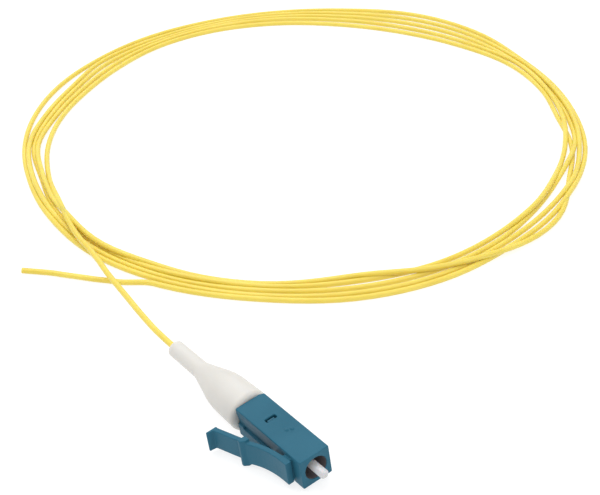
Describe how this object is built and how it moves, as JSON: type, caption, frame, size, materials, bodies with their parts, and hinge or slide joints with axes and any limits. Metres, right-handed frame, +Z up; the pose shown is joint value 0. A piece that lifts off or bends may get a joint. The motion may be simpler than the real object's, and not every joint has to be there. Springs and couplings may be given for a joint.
{
  "type": "fibre optic pigtail",
  "caption": "Fibre optic pigtail: a small snap-in connector with a white boot on a loose coil of thin yellow buffered fibre with a bare cut end.",
  "frame": {"origin": "on the table, under the middle of the connector's box, which runs from the boot's tail to the ferrule's tip", "axes": "+X along the connector, the way the ferrule points; -Y towards the latch side; +Z up from the table"},
  "size_m": [0.135, 0.1219, 0.006],
  "materials": {
    "housing_plastic": "satin moulded",
    "insert_plastic": "satin moulded",
    "boot_rubber": "soft matte",
    "ferrule_ceramic": "polished",
    "flange_metal": "nickel plated",
    "spring_steel": "drawn wire",
    "fibre_buffer": "smooth satin"
  },
  "bodies": {
    "pigtail": {"connector_housing": "housing_plastic", "rear_body": "insert_plastic", "boot": "boot_rubber", "ferrule_spring": "spring_steel", "fibre_lead": "fibre_buffer", "fibre_coil": "fibre_buffer", "fibre_tail": "fibre_buffer"},
    "ferrule_group": {"ferrule": "ferrule_ceramic", "ferrule_flange": "flange_metal"}
  },
  "joints": [
    {"name": "ferrule_float", "type": "slide", "parent": "pigtail", "child": "ferrule_group", "axis": [-1, 0, 0], "range_m": [0, 0.0005], "stiffness_N_per_m": 1200, "deforming": ["ferrule_spring"]}
  ]
}
